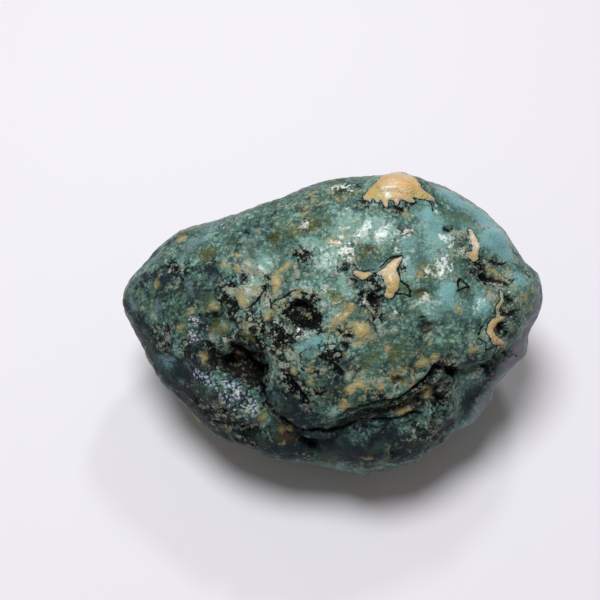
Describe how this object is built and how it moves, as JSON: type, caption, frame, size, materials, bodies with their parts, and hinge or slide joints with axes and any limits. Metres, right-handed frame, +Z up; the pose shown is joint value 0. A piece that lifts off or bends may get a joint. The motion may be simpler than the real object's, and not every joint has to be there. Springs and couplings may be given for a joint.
{
  "type": "moss agate nodule",
  "caption": "Rough pear-shaped moss agate nodule with ochre patches, dark pits and long cracks, a loose stone to show or set down on its worn flat.",
  "frame": {"origin": "middle of the bounding box's base, on the surface that the stone lies on", "axes": "+X along the stone from its narrow tip to its thick end, +Z up, +Y away from the side that the picture looks down on"},
  "size_m": [0.045, 0.0316, 0.0265],
  "materials": {
    "stone": "mottled blue-green chalcedony with ochre patches edged in black, waxy to wet gloss, pitted"
  },
  "bodies": {
    "root": {"moss_agate": "stone"}
  },
  "joints": []
}
